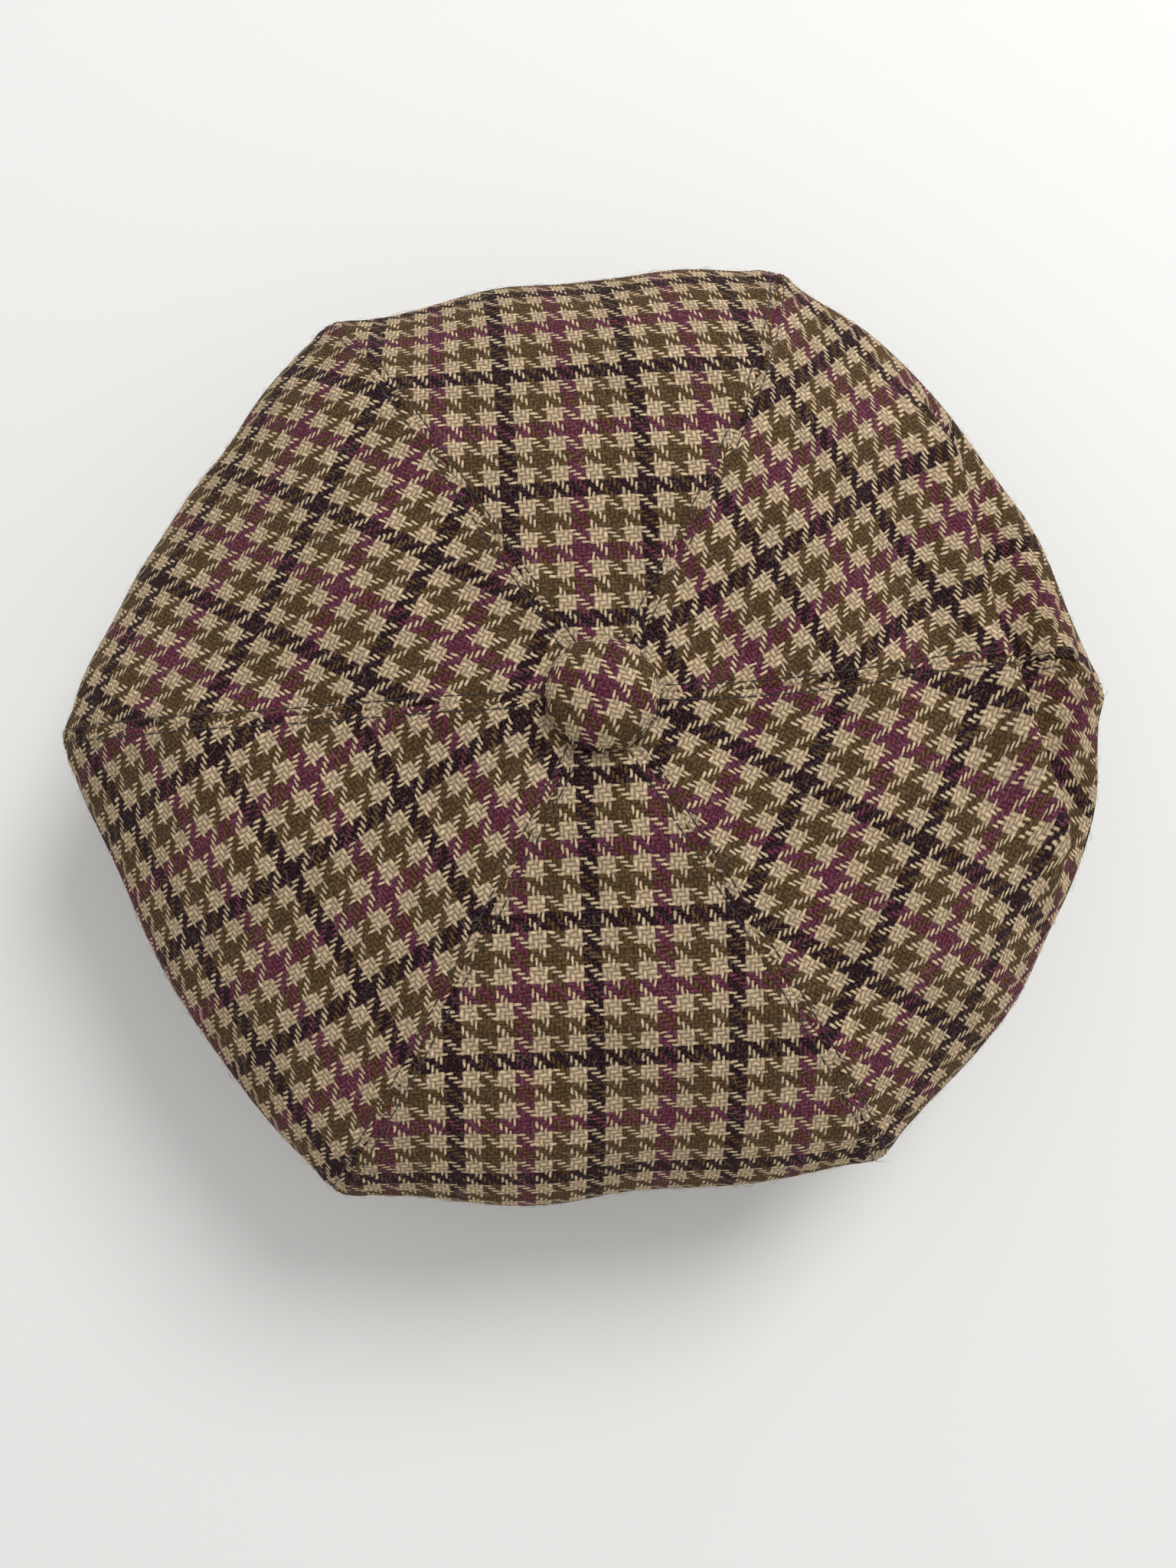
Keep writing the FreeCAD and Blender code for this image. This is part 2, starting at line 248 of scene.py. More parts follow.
def slouch(points):
    """Moves points of the crown as the soft cloth has settled: the front falls over the peak in a fold."""
    x, y, z = points[..., 0], points[..., 1], points[..., 2]
    past = -y - np.interp(x / MM, FOLD_PLACES, FOLD_LINE) * MM
    width = smooth(*FOLD_ENDS[:2], x) * (1 - smooth(*FOLD_ENDS[2:], x))
    above_rim = np.maximum(z - RIM_HEIGHT, 0)
    upper = smooth(4 * MM, 18 * MM, above_rim) * width
    step = smooth(*FOLD_WALL, past) * (1 - smooth(*FOLD_RETURN, past))
    lip = bump(past + LIP_BACK, LIP_WIDTH)
    moved = points.copy()
    moved[..., 1] = y - LIP_REACH * lip * upper
    moved[..., 2] = z + LIP_RISE * lip * upper - FOLD_DROP * above_rim * step * width
    return moved


def formed_point(angle, travel):
    """The crown's soft shape, without its seams."""
    points = base_point(angle, travel) + outward(angle, travel) * soft_relief(angle, travel)[..., None]
    strip = STRIP_REACH * bump((angle - FRONT_SEAM - STRIP_PLACE + 180) % 360 - 180, STRIP_WIDTH)
    rim = around(angle, RIM_REACH) * MM + strip
    reach = rim * smooth(0.3, 1.0, travel) * (1 - smooth(1.0, 1.9, travel))
    turn = np.radians(angle + swing(angle, travel))
    radius = np.hypot(points[..., 0], points[..., 1]) + reach
    points[..., 0] = radius * np.cos(turn)
    points[..., 1] = radius * np.sin(turn)
    return slouch(points)


def cloth_point(angle, travel):
    """The tweed's outer face, with its seams."""
    height = seam_relief(angle, travel)
    return formed_point(angle, travel) + outward(angle, travel, formed_point) * height[..., None]


# ---- Meshes ----


def mesh_object(name, verts, faces, uv=None):
    mesh = bpy.data.meshes.new(name)
    mesh.from_pydata([tuple(v) for v in verts], [], [tuple(f) for f in faces])
    if uv is not None:
        layer = mesh.uv_layers.new(name="weave")
        corners = np.empty(len(mesh.loops), dtype=np.int32)
        mesh.loops.foreach_get("vertex_index", corners)
        layer.data.foreach_set("uv", np.asarray(uv, dtype=np.float32)[corners].ravel())
    mesh.polygons.foreach_set("use_smooth", [True] * len(mesh.polygons))
    mesh.update()
    obj = bpy.data.objects.new(name, mesh)
    bpy.context.scene.collection.objects.link(obj)
    return obj


def grid_faces(rows, columns, closed=False, start=0):
    """Quads of a grid whose columns may close into a ring."""
    faces = []
    last = columns if closed else columns - 1
    for row in range(rows - 1):
        for column in range(last):
            a = start + row * columns + column
            b = start + row * columns + (column + 1) % columns
            faces.append((a, b, b + columns, a + columns))
    return faces


def grid_object(name, points, uv=None):
    rows, columns = points.shape[:2]
    flat_uv = None if uv is None else uv.reshape(-1, 2)
    return mesh_object(name, points.reshape(-1, 3), grid_faces(rows, columns), flat_uv)


def thicken(obj, thickness):
    """Turns a sheet into closed cloth of this thickness, inwards from its face."""
    solid = obj.modifiers.new("cloth", "SOLIDIFY")
    solid.thickness = thickness
    solid.offset = -1.0
    solid.use_even_offset = False
    apply_modifiers(obj)


def apply_modifiers(obj):
    shown = obj.evaluated_get(bpy.context.evaluated_depsgraph_get())
    mesh = bpy.data.meshes.new_from_object(shown)
    obj.modifiers.clear()
    old = obj.data
    obj.data = mesh
    bpy.data.meshes.remove(old)


def tubes(name, paths, radii, sides=6):
    """Closed tubes along paths, an array of (tube, point, xyz), with a radius for each point."""
    paths = np.asarray(paths, dtype=float)
    count, length = paths.shape[:2]
    radii = np.broadcast_to(np.asarray(radii, dtype=float), (count, length))
    tangent = unit(np.gradient(paths, axis=1))
    helper = np.where(np.abs(tangent[..., 2:3]) > 0.9, [[[1.0, 0, 0]]], [[[0, 0, 1.0]]])
    side = unit(np.cross(tangent, helper))
    over = np.cross(tangent, side)
    turns = np.arange(sides) * 2 * math.pi / sides
    ring = side[:, :, None] * np.cos(turns)[:, None] + over[:, :, None] * np.sin(turns)[:, None]
    verts = (paths[:, :, None] + ring * radii[:, :, None, None]).reshape(-1, 3)
    faces = []
    for tube in range(count):
        start = tube * length * sides
        faces += grid_faces(length, sides, closed=True, start=start)
        faces.append(tuple(range(start + sides - 1, start - 1, -1)))
        end = start + (length - 1) * sides
        faces.append(tuple(range(end, end + sides)))
    return mesh_object(name, verts, faces)


# ---- Materials ----


def srgb(red, green, blue):
    """Linear colour of an 8-bit screen colour."""
    def linear(value):
        value /= 255
        return value / 12.92 if value <= 0.04045 else ((value + 0.055) / 1.055) ** 2.4
    return (linear(red), linear(green), linear(blue), 1.0)


class Shader:
    """A node material under construction."""

    def __init__(self, name, roughness=0.9, specular=0.3, sheen=0.0, metallic=0.0):
        self.material = bpy.data.materials.new(name)
        self.material.use_nodes = True
        self.tree = self.material.node_tree
        self.surface = self.tree.nodes["Principled BSDF"]
        self.surface.inputs["Roughness"].default_value = roughness
        self.surface.inputs["Specular IOR Level"].default_value = specular
        self.surface.inputs["Sheen Weight"].default_value = sheen
        self.surface.inputs["Sheen Roughness"].default_value = 0.5
        self.surface.inputs["Metallic"].default_value = metallic

    def node(self, kind, **settings):
        made = self.tree.nodes.new(kind)
        for key, value in settings.items():
            setattr(made, key, value)
        return made

    def feed(self, socket, value):
        if isinstance(value, bpy.types.NodeSocket):
            self.tree.links.new(value, socket)
        else:
            socket.default_value = value

    def math(self, operation, *values):
        made = self.node("ShaderNodeMath", operation=operation)
        for socket, value in zip(made.inputs, values):
            self.feed(socket, value)
        return made.outputs[0]

    def choose(self, share, when_low, when_high):
        """A number between two, by a share from 0 to 1."""
        made = self.node("ShaderNodeMix", data_type="FLOAT")
        for name, value in (("Factor", share), ("A", when_low), ("B", when_high)):
            self.feed(made.inputs[name], value)
        return made.outputs[0]

    def blend(self, share, low, high, mode="MIX"):
        """A colour between two, by a share from 0 to 1."""
        made = self.node("ShaderNodeMix", data_type="RGBA", blend_type=mode)
        self.feed(made.inputs[0], share)
        self.feed(made.inputs[6], low)
        self.feed(made.inputs[7], high)
        return made.outputs[2]

    def vector(self, x, y, z=0.0):
        made = self.node("ShaderNodeCombineXYZ")
        for socket, value in zip(made.inputs, (x, y, z)):
            self.feed(socket, value)
        return made.outputs[0]

    def noise(self, vector, scale, detail=2.0, roughness=0.5, colour=False):
        made = self.node("ShaderNodeTexNoise")
        self.feed(made.inputs["Vector"], vector)
        made.inputs["Scale"].default_value = scale
        made.inputs["Detail"].default_value = detail
        made.inputs["Roughness"].default_value = roughness
        return made.outputs["Color" if colour else "Fac"]

    def bands(self, position, colours):
        """Even bands of plain colour over 0 to 1."""
        made = self.node("ShaderNodeValToRGB")
        ramp = made.color_ramp
        ramp.interpolation = "CONSTANT"
        while len(ramp.elements) < len(colours):
            ramp.elements.new(0.5)
        for index, colour in enumerate(colours):
            ramp.elements[index].position = index / len(colours)
        for index, colour in enumerate(colours):
            ramp.elements[index].color = colour
        self.feed(made.inputs["Fac"], position)
        return made.outputs["Color"]

    def spread(self, value, low, high):
        """A value from 0 to 1 moved to low to high."""
        made = self.node("ShaderNodeMapRange")
        self.feed(made.inputs["Value"], value)
        made.inputs["To Min"].default_value = low
        made.inputs["To Max"].default_value = high
        return made.outputs[0]

    def finish(self, colour, height=None, distance=0.3 * MM, strength=0.7, roughness=None):
        self.feed(self.surface.inputs["Base Color"], colour)
        if roughness is not None:
            self.feed(self.surface.inputs["Roughness"], roughness)
        if height is not None:
            made = self.node("ShaderNodeBump")
            made.inputs["Strength"].default_value = strength
            made.inputs["Distance"].default_value = distance
            self.feed(made.inputs["Height"], height)
            self.feed(self.surface.inputs["Normal"], made.outputs[0])
        return self.material


CREAM = srgb(226, 203, 168)
OLIVE = srgb(98, 77, 46)
PLUM = srgb(42, 14, 22)
MAGENTA = srgb(106, 40, 60)
BAND_COLOURS = [PLUM, CREAM, OLIVE, CREAM, MAGENTA, CREAM, OLIVE, CREAM]
CREAM_FLECK = srgb(186, 158, 124)
OLIVE_FLECK = srgb(84, 56, 34)
PLUM_FLECK = srgb(38, 20, 34)
MAGENTA_FLECK = srgb(100, 52, 78)
PALE_HAIR = srgb(196, 178, 152)
DARK_HAIR = srgb(44, 28, 28)
FLECK_COLOURS = [
    PLUM_FLECK, CREAM_FLECK, OLIVE_FLECK, CREAM_FLECK,
    MAGENTA_FLECK, CREAM_FLECK, OLIVE_FLECK, CREAM_FLECK,
]


def tweed_material():
    """Houndstooth tweed, thread by thread. The weave map counts warp threads along U, weft along V."""
    s = Shader("houndstooth_tweed", roughness=0.92, specular=0.08, sheen=0.04)
    s.surface.inputs["Sheen Tint"].default_value = srgb(236, 224, 205)
    uv = s.node("ShaderNodeUVMap", uv_map="weave").outputs[0]
    place = s.node("ShaderNodeSeparateXYZ")
    s.feed(place.inputs[0], uv)
    drift = s.node("ShaderNodeSeparateXYZ")
    s.feed(drift.inputs[0], s.noise(uv, 0.42, 2, colour=True))
    fray = s.node("ShaderNodeSeparateXYZ")
    s.feed(fray.inputs[0], s.noise(uv, 2.8, 3, 0.65, colour=True))

    def wobbled(axis):
        slow = s.math("MULTIPLY_ADD", drift.outputs[axis], 0.9, -0.45)
        quick = s.math("MULTIPLY_ADD", fray.outputs[axis], 0.72, -0.36)
        return s.math("ADD", s.math("ADD", place.outputs[axis], slow), quick)

    warp, weft = wobbled(0), wobbled(1)
    warp_index, weft_index = s.math("FLOOR", warp), s.math("FLOOR", weft)
    in_warp, in_weft = s.math("FRACT", warp), s.math("FRACT", weft)
    step = s.math("FLOORED_MODULO", s.math("ADD", warp_index, weft_index), 4.0)
    weft_on_top = s.math("GREATER_THAN", step, 1.5)

    def place_in_repeat(index):
        return s.math("FRACT", s.math("MULTIPLY_ADD", index, 1 / THREADS_IN_REPEAT, 0.5 / THREADS_IN_REPEAT))

    warp_place, weft_place = place_in_repeat(warp_index), place_in_repeat(weft_index)
    top_place = s.choose(weft_on_top, warp_place, weft_place)
    under_place = s.choose(weft_on_top, weft_place, warp_place)
    across = s.choose(weft_on_top, in_warp, in_weft)
    float_step = s.math("FLOORED_MODULO", step, 2.0)
    along = s.math("MULTIPLY", s.math("ADD", float_step, s.choose(weft_on_top, in_weft, in_warp)), 0.5)
    crown_of_thread = s.math("POWER", s.math("SINE", s.math("MULTIPLY", across, math.pi)), 0.6)
    bow = s.math("POWER", s.math("SINE", s.math("MULTIPLY", along, math.pi)), 0.7)
    height = s.math("MULTIPLY", crown_of_thread, s.math("MULTIPLY_ADD", bow, 0.65, 0.35))

    warp_fibres = s.noise(s.vector(s.math("MULTIPLY", warp, 5.0), s.math("MULTIPLY", weft, 1.1)), 1.0, 3, 0.6)
    weft_fibres = s.noise(s.vector(s.math("MULTIPLY", warp, 1.1), s.math("MULTIPLY", weft, 5.0)), 1.0, 3, 0.6)
    fibres = s.choose(weft_on_top, warp_fibres, weft_fibres)
    heather = s.spread(s.noise(uv, 1.7, 4, 0.75), -0.9, 1.9)
    top_colour = s.blend(heather, s.bands(top_place, BAND_COLOURS), s.bands(top_place, FLECK_COLOURS))
    under_colour = s.bands(under_place, BAND_COLOURS)
    # Towards each thread's edges the colour goes to the darker of the top and under threads: partly the under
    # thread's own colour showing, partly painted shade between the threads.
    from_middle = s.math("ABSOLUTE", s.math("SUBTRACT", across, 0.5))
    edge = s.node("ShaderNodeMapRange", interpolation_type="SMOOTHSTEP")
    s.feed(edge.inputs["Value"], from_middle)
    edge.inputs["From Min"].default_value = 0.14
    edge.inputs["From Max"].default_value = 0.38
    darker = s.blend(1.0, top_colour, under_colour, "DARKEN")
    colour = s.blend(edge.outputs[0], top_colour, darker)
    thread_tone = s.node("ShaderNodeTexWhiteNoise", noise_dimensions="3D")
    thread_index = s.choose(weft_on_top, warp_index, weft_index)
    s.feed(thread_tone.inputs["Vector"], s.vector(thread_index, weft_on_top))
    tone = s.math("MULTIPLY", s.spread(thread_tone.outputs["Value"], 0.8, 1.14), s.spread(fibres, 0.55, 1.45))
    # Painted shade: the colour darkens where the thread's height falls, at its edges, at the ends of its
    # floats and in the gaps between threads.
    tone = s.math("MULTIPLY", tone, s.spread(height, 0.2, 1.2))
    tone = s.math("MULTIPLY", tone, s.spread(s.noise(uv, 0.03, 2), 0.86, 1.14))
    felt = s.noise(uv, 5.0, 5, 0.85)
    tone = s.math("MULTIPLY", tone, s.spread(felt, 0.55, 1.45))
    # The shade node holds the random thread, fibre and felt tone together with the painted shade in the
    # thread gaps.
    shade = s.node("ShaderNodeCombineColor")
    for socket in shade.inputs[:3]:
        s.feed(socket, tone)
    colour = s.blend(1.0, colour, shade.outputs[0], "MULTIPLY")
    for scale, strength, hair in ((0.9, 0.2, PALE_HAIR), (1.6, 0.3, DARK_HAIR)):
        from_line = s.math("ABSOLUTE", s.math("SUBTRACT", s.noise(uv, scale, 1.5, 0.4), 0.5))
        on_line = s.math("SUBTRACT", 1.0, s.math("MULTIPLY", from_line, 38.0))
        share = s.math("MULTIPLY", s.math("MAXIMUM", on_line, 0.0), strength)
        colour = s.blend(share, colour, hair)
    fuzz = s.math("MULTIPLY", s.math("ADD", fibres, felt), 0.3)
    return s.finish(colour, s.math("ADD", height, fuzz), distance=0.45 * MM, strength=0.75)


def object_place(s):
    return s.node("ShaderNodeTexCoord").outputs["Object"]


def thread_material(name, colour, dark):
    s = Shader(name, roughness=0.6, specular=0.4, sheen=0.2)
    strands = s.noise(object_place(s), 2600, 2, 0.6)
    return s.finish(s.blend(strands, dark, colour), strands, distance=0.06 * MM)


def satin_material():
    s = Shader("satin_lining", roughness=0.34, specular=0.5, sheen=0.15)
    place = object_place(s)
    weave = s.noise(place, 1800, 1)
    tone = s.noise(place, 40, 3)
    colour = s.blend(tone, srgb(58, 24, 44), srgb(84, 38, 62))
    return s.finish(colour, weave, distance=0.04 * MM, strength=0.4, roughness=s.spread(tone, 0.28, 0.42))


def ribbed_material():
    """Grosgrain ribbon: the weave map counts ribs along U."""
    s = Shader("grosgrain", roughness=0.75, specular=0.3, sheen=0.2)
    uv = s.node("ShaderNodeUVMap", uv_map="weave").outputs[0]
    place = s.node("ShaderNodeSeparateXYZ")
    s.feed(place.inputs[0], uv)
    ribs = s.math("ABSOLUTE", s.math("SINE", s.math("MULTIPLY", place.outputs[0], math.pi)))
    threads = s.noise(uv, 6.0, 2)
    # The colour is darker in the grooves between the ribs, painted shade, with a random thread tone on top.
    colour = s.blend(s.math("MULTIPLY", ribs, threads), srgb(16, 12, 14), srgb(58, 46, 52))
    return s.finish(colour, ribs, distance=0.25 * MM, strength=0.8)


def plain_weave_material(name, dark, light, scale):
    s = Shader(name, roughness=0.85, specular=0.2)
    place = s.node("ShaderNodeSeparateXYZ")
    s.feed(place.inputs[0], object_place(s))
    one = s.math("SINE", s.math("MULTIPLY", place.outputs[0], scale))
    two = s.math("SINE", s.math("MULTIPLY", s.math("ADD", place.outputs[1], place.outputs[2]), scale))
    # The colour follows the weave's height, darker in its low spots between the threads: painted shade.
    weave = s.math("MULTIPLY_ADD", s.math("MULTIPLY", one, two), 0.5, 0.5)
    colour = s.blend(weave, dark, light)
    return s.finish(colour, weave, distance=0.15 * MM)


def board_material():
    s = Shader("peak_board_plastic", roughness=0.55, specular=0.4)
    place = object_place(s)
    mottle = s.noise(place, 300, 4)
    colour = s.blend(mottle, srgb(188, 186, 178), srgb(226, 225, 219))
    return s.finish(colour, mottle, distance=0.05 * MM, roughness=s.spread(mottle, 0.45, 0.65))


def metal_material():
    s = Shader("pressed_metal", roughness=0.35, specular=0.5, metallic=1.0)
    place = object_place(s)
    scratches = s.noise(place, 900, 3, 0.7)
    colour = s.blend(scratches, srgb(150, 150, 152), srgb(196, 196, 198))
    return s.finish(colour, scratches, distance=0.02 * MM, roughness=s.spread(scratches, 0.25, 0.5))


TWEED = tweed_material()
THREAD = thread_material("topstitch_thread", srgb(58, 40, 34), srgb(26, 16, 14))
WOOL = thread_material("loose_wool", srgb(206, 184, 148), srgb(120, 92, 66))
SATIN = satin_material()
RIBBED = ribbed_material()
BUCKRAM = plain_weave_material("buckram_weave", srgb(150, 142, 124), srgb(214, 206, 188), 4200)
BOARD = board_material()
METAL = metal_material()


def paint(obj, material):
    obj.data.materials.clear()
    obj.data.materials.append(material)


def dress(obj, material, body):
    """Gives a finished piece its material and body."""
    paint(obj, material)
    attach(obj, body)


# ---- Crown gores ----

# Where each gore's cloth was cut from the check, in warp threads from the middle of the plum band.
CUT_ACROSS = {
    "front_left": 8.0, "left": 20.6, "back_left": 22.1, "back_right": 28.6, "right": 28.9, "front_right": 5.6
}
# Weft threads from the start of the plum band to the crown's top.
CUT_ALONG = 16.0


def gore_columns():
    """Shares from 0 to 1 across a gore, close together at the seams."""
    half = math.radians(GORE_ANGLE / 2) * CORNER_RADIUS
    near = np.array([0, 0.45, 0.9, 1.4, 2.0, 2.6, 3.3, 4.2, 5.4, 6.8, 8.6, 10.6]) * MM / half
    inner = np.linspace(near[-1], 1.0, 27)[1:]
    half_way = np.concatenate([near, inner]) / 2
    return np.concatenate([half_way, 1 - half_way[-2::-1]])


def gore_rows():
    """Travel values from the button over the rim to the band."""
    near_top = np.linspace(0.018, 0.5, 45)
    over_rim = np.linspace(0.5, 1, 76)[1:]
    to_band = np.linspace(1, 2, 42)[1:]
    return np.concatenate([near_top, over_rim, to_band])


def flat_pattern(angle, travel, middle):
    """The gore laid flat: metres across from its middle line and metres along from the top."""
    point = base_point(angle, travel)
    radius = np.hypot(point[..., 0], point[..., 1])
    aside = np.radians(angle - middle)
    forward = radius * np.cos(aside)
    formed = formed_point(angle, travel)
    lean = np.cos(np.arctan2(radius * np.sin(aside), np.maximum(forward, 1e-6)))
    steps = np.linalg.norm(np.diff(formed, axis=0), axis=-1)
    towards = lean[1:] + (1 - lean[1:]) * smooth(0.8, 1.0, travel[1:])
    along = np.concatenate([forward[:1], forward[:1] + np.cumsum(steps * towards, axis=0)])
    return radius * np.sin(aside), along


def make_gore(index):
    name = GORES[index]
    low = SEAMS[index]
    middle = low + GORE_ANGLE / 2
    travel, share = np.meshgrid(gore_rows(), gore_columns(), indexing="ij")
    angle = low + GORE_ANGLE * share
    points = cloth_point(angle, travel)
    across, along = flat_pattern(angle, travel, middle)
    # Seen from outside with the tip down, angles grow to the left.
    warp = -across / WARP_PITCH + CUT_ACROSS[name]
    weft = along / WEFT_PITCH + CUT_ALONG
    threads = np.stack([warp, weft], axis=-1)
    gore = grid_object(f"crown_gore_{name}", points[:, ::-1], threads[:, ::-1])
    thicken(gore, CLOTH)
    dress(gore, TWEED, "cap")
    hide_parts(f"crown_panel_{name}")


for index in range(len(GORES)):
    make_gore(index)


# ---- Topstitching on the crown ----

STITCH = 2.7 * MM
STITCH_STEP = 3.1 * MM
THREAD_RADIUS = 0.21 * MM


def stitch_line(points, normals, first=0.0):
    """Paths of separate stitches along a line on cloth."""
    steps = np.linalg.norm(np.diff(points, axis=0), axis=1)
    run = np.concatenate([[0.0], np.cumsum(steps)])
    starts = np.arange(first, run[-1] - STITCH, STITCH_STEP)
    shares = np.linspace(0, 1, 6)
    rise = (np.sin(shares * math.pi) * 0.42 - 0.14) * MM
    at = starts[:, None] + shares * STITCH
    places = np.stack([np.interp(at, run, points[:, axis]) for axis in range(3)], axis=-1)
    up = unit(np.stack([np.interp(at, run, normals[:, axis]) for axis in range(3)], axis=-1))
    return places + up * rise[:, None]


def make_crown_topstitching():
    paths = []
    travel = np.linspace(0.067, 1.86, 420)
    for seam in SEAMS:
        radius = np.hypot(*np.moveaxis(base_point(np.full_like(travel, seam), travel)[..., :2], -1, 0))
        for side in (-1, 1):
            angle = seam + side * np.degrees(STITCH_ROWS / radius)
            line = cloth_point(angle, travel)
            paths.append(stitch_line(line, outward(angle, travel), first=0.4 * MM * side + 0.6 * MM))
    stitches = tubes("crown_stitches", np.concatenate(paths), THREAD_RADIUS)
    dress(stitches, THREAD, "cap")
    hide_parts("crown_topstitching")


make_crown_topstitching()

# ---- Crown lining ----

LINING_DEPTH = 3.2 * MM
LINING_CLOTH = 0.6 * MM


def make_lining(index):
    """A satin gore that hangs inside the tweed with small wrinkles of its own."""
    name = GORES[index]
    low = SEAMS[index]
    rows = np.concatenate([np.linspace(0.02, 1, 70), np.linspace(1, 1.97, 30)[1:]])
    travel, share = np.meshgrid(rows, np.linspace(0, 1, 49), indexing="ij")
    angle = low + GORE_ANGLE * (0.004 + 0.992 * share)
    point = base_point(angle, travel)
    wrinkle = 0.3 * MM * waves(point[..., 0], point[..., 1], 17 * MM, 31 + index)
    wrinkle = wrinkle + 0.35 * MM * bump(off_seam(angle, travel), 1.6 * MM)
    depth = LINING_DEPTH + wrinkle * (1 - smooth(1.6, 1.95, travel))
    points = formed_point(angle, travel) - outward(angle, travel, formed_point) * depth[..., None]
    lining = grid_object(f"crown_lining_{name}", points[:, ::-1])
    thicken(lining, LINING_CLOTH)
    dress(lining, SATIN, "cap")
    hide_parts(f"lining_panel_{name}")
    across, along = flat_pattern(angle, travel, low + GORE_ANGLE / 2)


for index in range(len(GORES)):
    make_lining(index)


# ---- Headband and sweatband ----

BAND_LENGTH = 2 * math.pi * math.sqrt((BAND_HIGH.x ** 2 + BAND_HIGH.y ** 2) / 2)
FRONT_RISE = 9 * MM
ARCH_RADIUS = (BAND_HIGH.x ** 2 + FRONT_RISE ** 2) / (2 * FRONT_RISE)
BAND_CLOTH = 1.6 * MM
RIBBON = 0.9 * MM
RIB_PITCH = 1.4 * MM
SWEATBAND_SETBACK = 1 * MM


def band_floor(x, y):
    """Height of the headband's lower edge, arched up over the peak."""
    arch = FRONT_RISE - ARCH_RADIUS + np.sqrt(ARCH_RADIUS ** 2 - x ** 2)
    return np.where(y < 0, np.maximum(arch, 0), 0)


def rounded_strip(thickness, rows):
    """The cross-section of folded cloth: (outward, height share, height in metres) round a closed loop."""
    half = thickness / 2
    bends = np.linspace(-math.pi / 2, math.pi / 2, 7)
    up = np.linspace(0, 1, rows)
    section = [(half, share, 0.0) for share in up]
    section += [(-half * math.sin(b), 1.0, half * math.cos(b)) for b in bends[1:-1]]
    section += [(-half, share, 0.0) for share in up[::-1]]
    section += [(half * math.sin(b), 0.0, -half * math.cos(b)) for b in bends[1:-1]]
    return np.array(section)


def band_object(name, inset, thickness, setback, columns, rows, texture, relief_at):
    """A closed strip round the head opening, its middle inset inside the headband's outer face."""
    section = rounded_strip(thickness, rows)
    turn = np.linspace(0, 360, columns, endpoint=False)[None, :] + np.zeros((len(section), 1))
    out, share, bulge = (section[:, index:index + 1] for index in range(3))
    face = np.sign(out) * (np.abs(out) > 0.49 * thickness)
    middle = oval_radius(turn, (BAND_HIGH.x - inset, BAND_HIGH.y - inset))
    x = middle * np.cos(np.radians(turn))
    y = middle * np.sin(np.radians(turn))
    low = band_floor(x, y) + setback + thickness / 2
    high = BAND_TOP - setback - thickness / 2
    z = low + (high - low) * share + bulge
    radius = middle + out + face * relief_at(turn, z)
    points = np.stack([radius * np.cos(np.radians(turn)), radius * np.sin(np.radians(turn)), z], axis=-1)
    run = turn / 360 * BAND_LENGTH
    uv = np.stack([run / texture, z / WEFT_PITCH], axis=-1)
    count = len(section)
    faces = grid_faces(count, columns, closed=True)
    last = (count - 1) * columns
    faces += [(last + c, last + (c + 1) % columns, (c + 1) % columns, c) for c in range(columns)]
    faces = [face[::-1] for face in faces]
    return mesh_object(name, points.reshape(-1, 3), faces, uv.reshape(-1, 2))


def back_seam(turn, width):
    beside = np.abs((turn - 90 + 180) % 360 - 180)
    return bump(np.radians(beside) * BAND_HIGH.y, width)


def headband_relief(turn, z):
    pucker = 0.12 * MM * waves(np.radians(turn) * 0.095, z, 14 * MM, 61)
    return pucker - 0.7 * MM * back_seam(turn, 0.9 * MM)


def sweatband_relief(turn, z):
    ribs = np.sin(np.radians(turn) * BAND_LENGTH / RIB_PITCH + 0 * z)
    return 0.07 * MM * ribs - 0.3 * MM * back_seam(turn, 0.8 * MM)


def make_bands():
    headband = band_object(
        "tweed_headband", BAND_CLOTH / 2, BAND_CLOTH, 0.0, 512, 12, WARP_PITCH, headband_relief
    )
    dress(headband, TWEED, "cap")
    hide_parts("headband")
    inset = BAND_HIGH.x - SWEAT_HIGH.x + 0.5 * MM
    sweatband = band_object(
        "ribbed_sweatband", inset, RIBBON, SWEATBAND_SETBACK, 2048, 6, RIB_PITCH, sweatband_relief
    )
    dress(sweatband, RIBBED, "cap")
    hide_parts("sweatband")


make_bands()


# ---- Peak ----

PEAK_SLOPE = math.radians(6)
PEAK_RADIUS = 80 * MM
PEAK_MIDDLE = PEAK_FRONT + PEAK_RADIUS
PEAK_ROOT = (BAND_HIGH.x + 1.2 * MM, BAND_HIGH.y + 1.2 * MM)
PEAK_LAYERS = {"under": (0, 1.3 * MM), "board": (1.45 * MM, 3.25 * MM), "top": (3.4 * MM, 4.7 * MM)}


def peak_height(x, y, above):
    """The height of the arched, forward-sloping sheet that lies this far above the peak's underside."""
    drop = ARCH_RADIUS - np.sqrt((ARCH_RADIUS + above) ** 2 - x ** 2)
    return FRONT_RISE + (y + BAND_HIGH.y) * math.tan(PEAK_SLOPE) - drop / math.cos(PEAK_SLOPE)


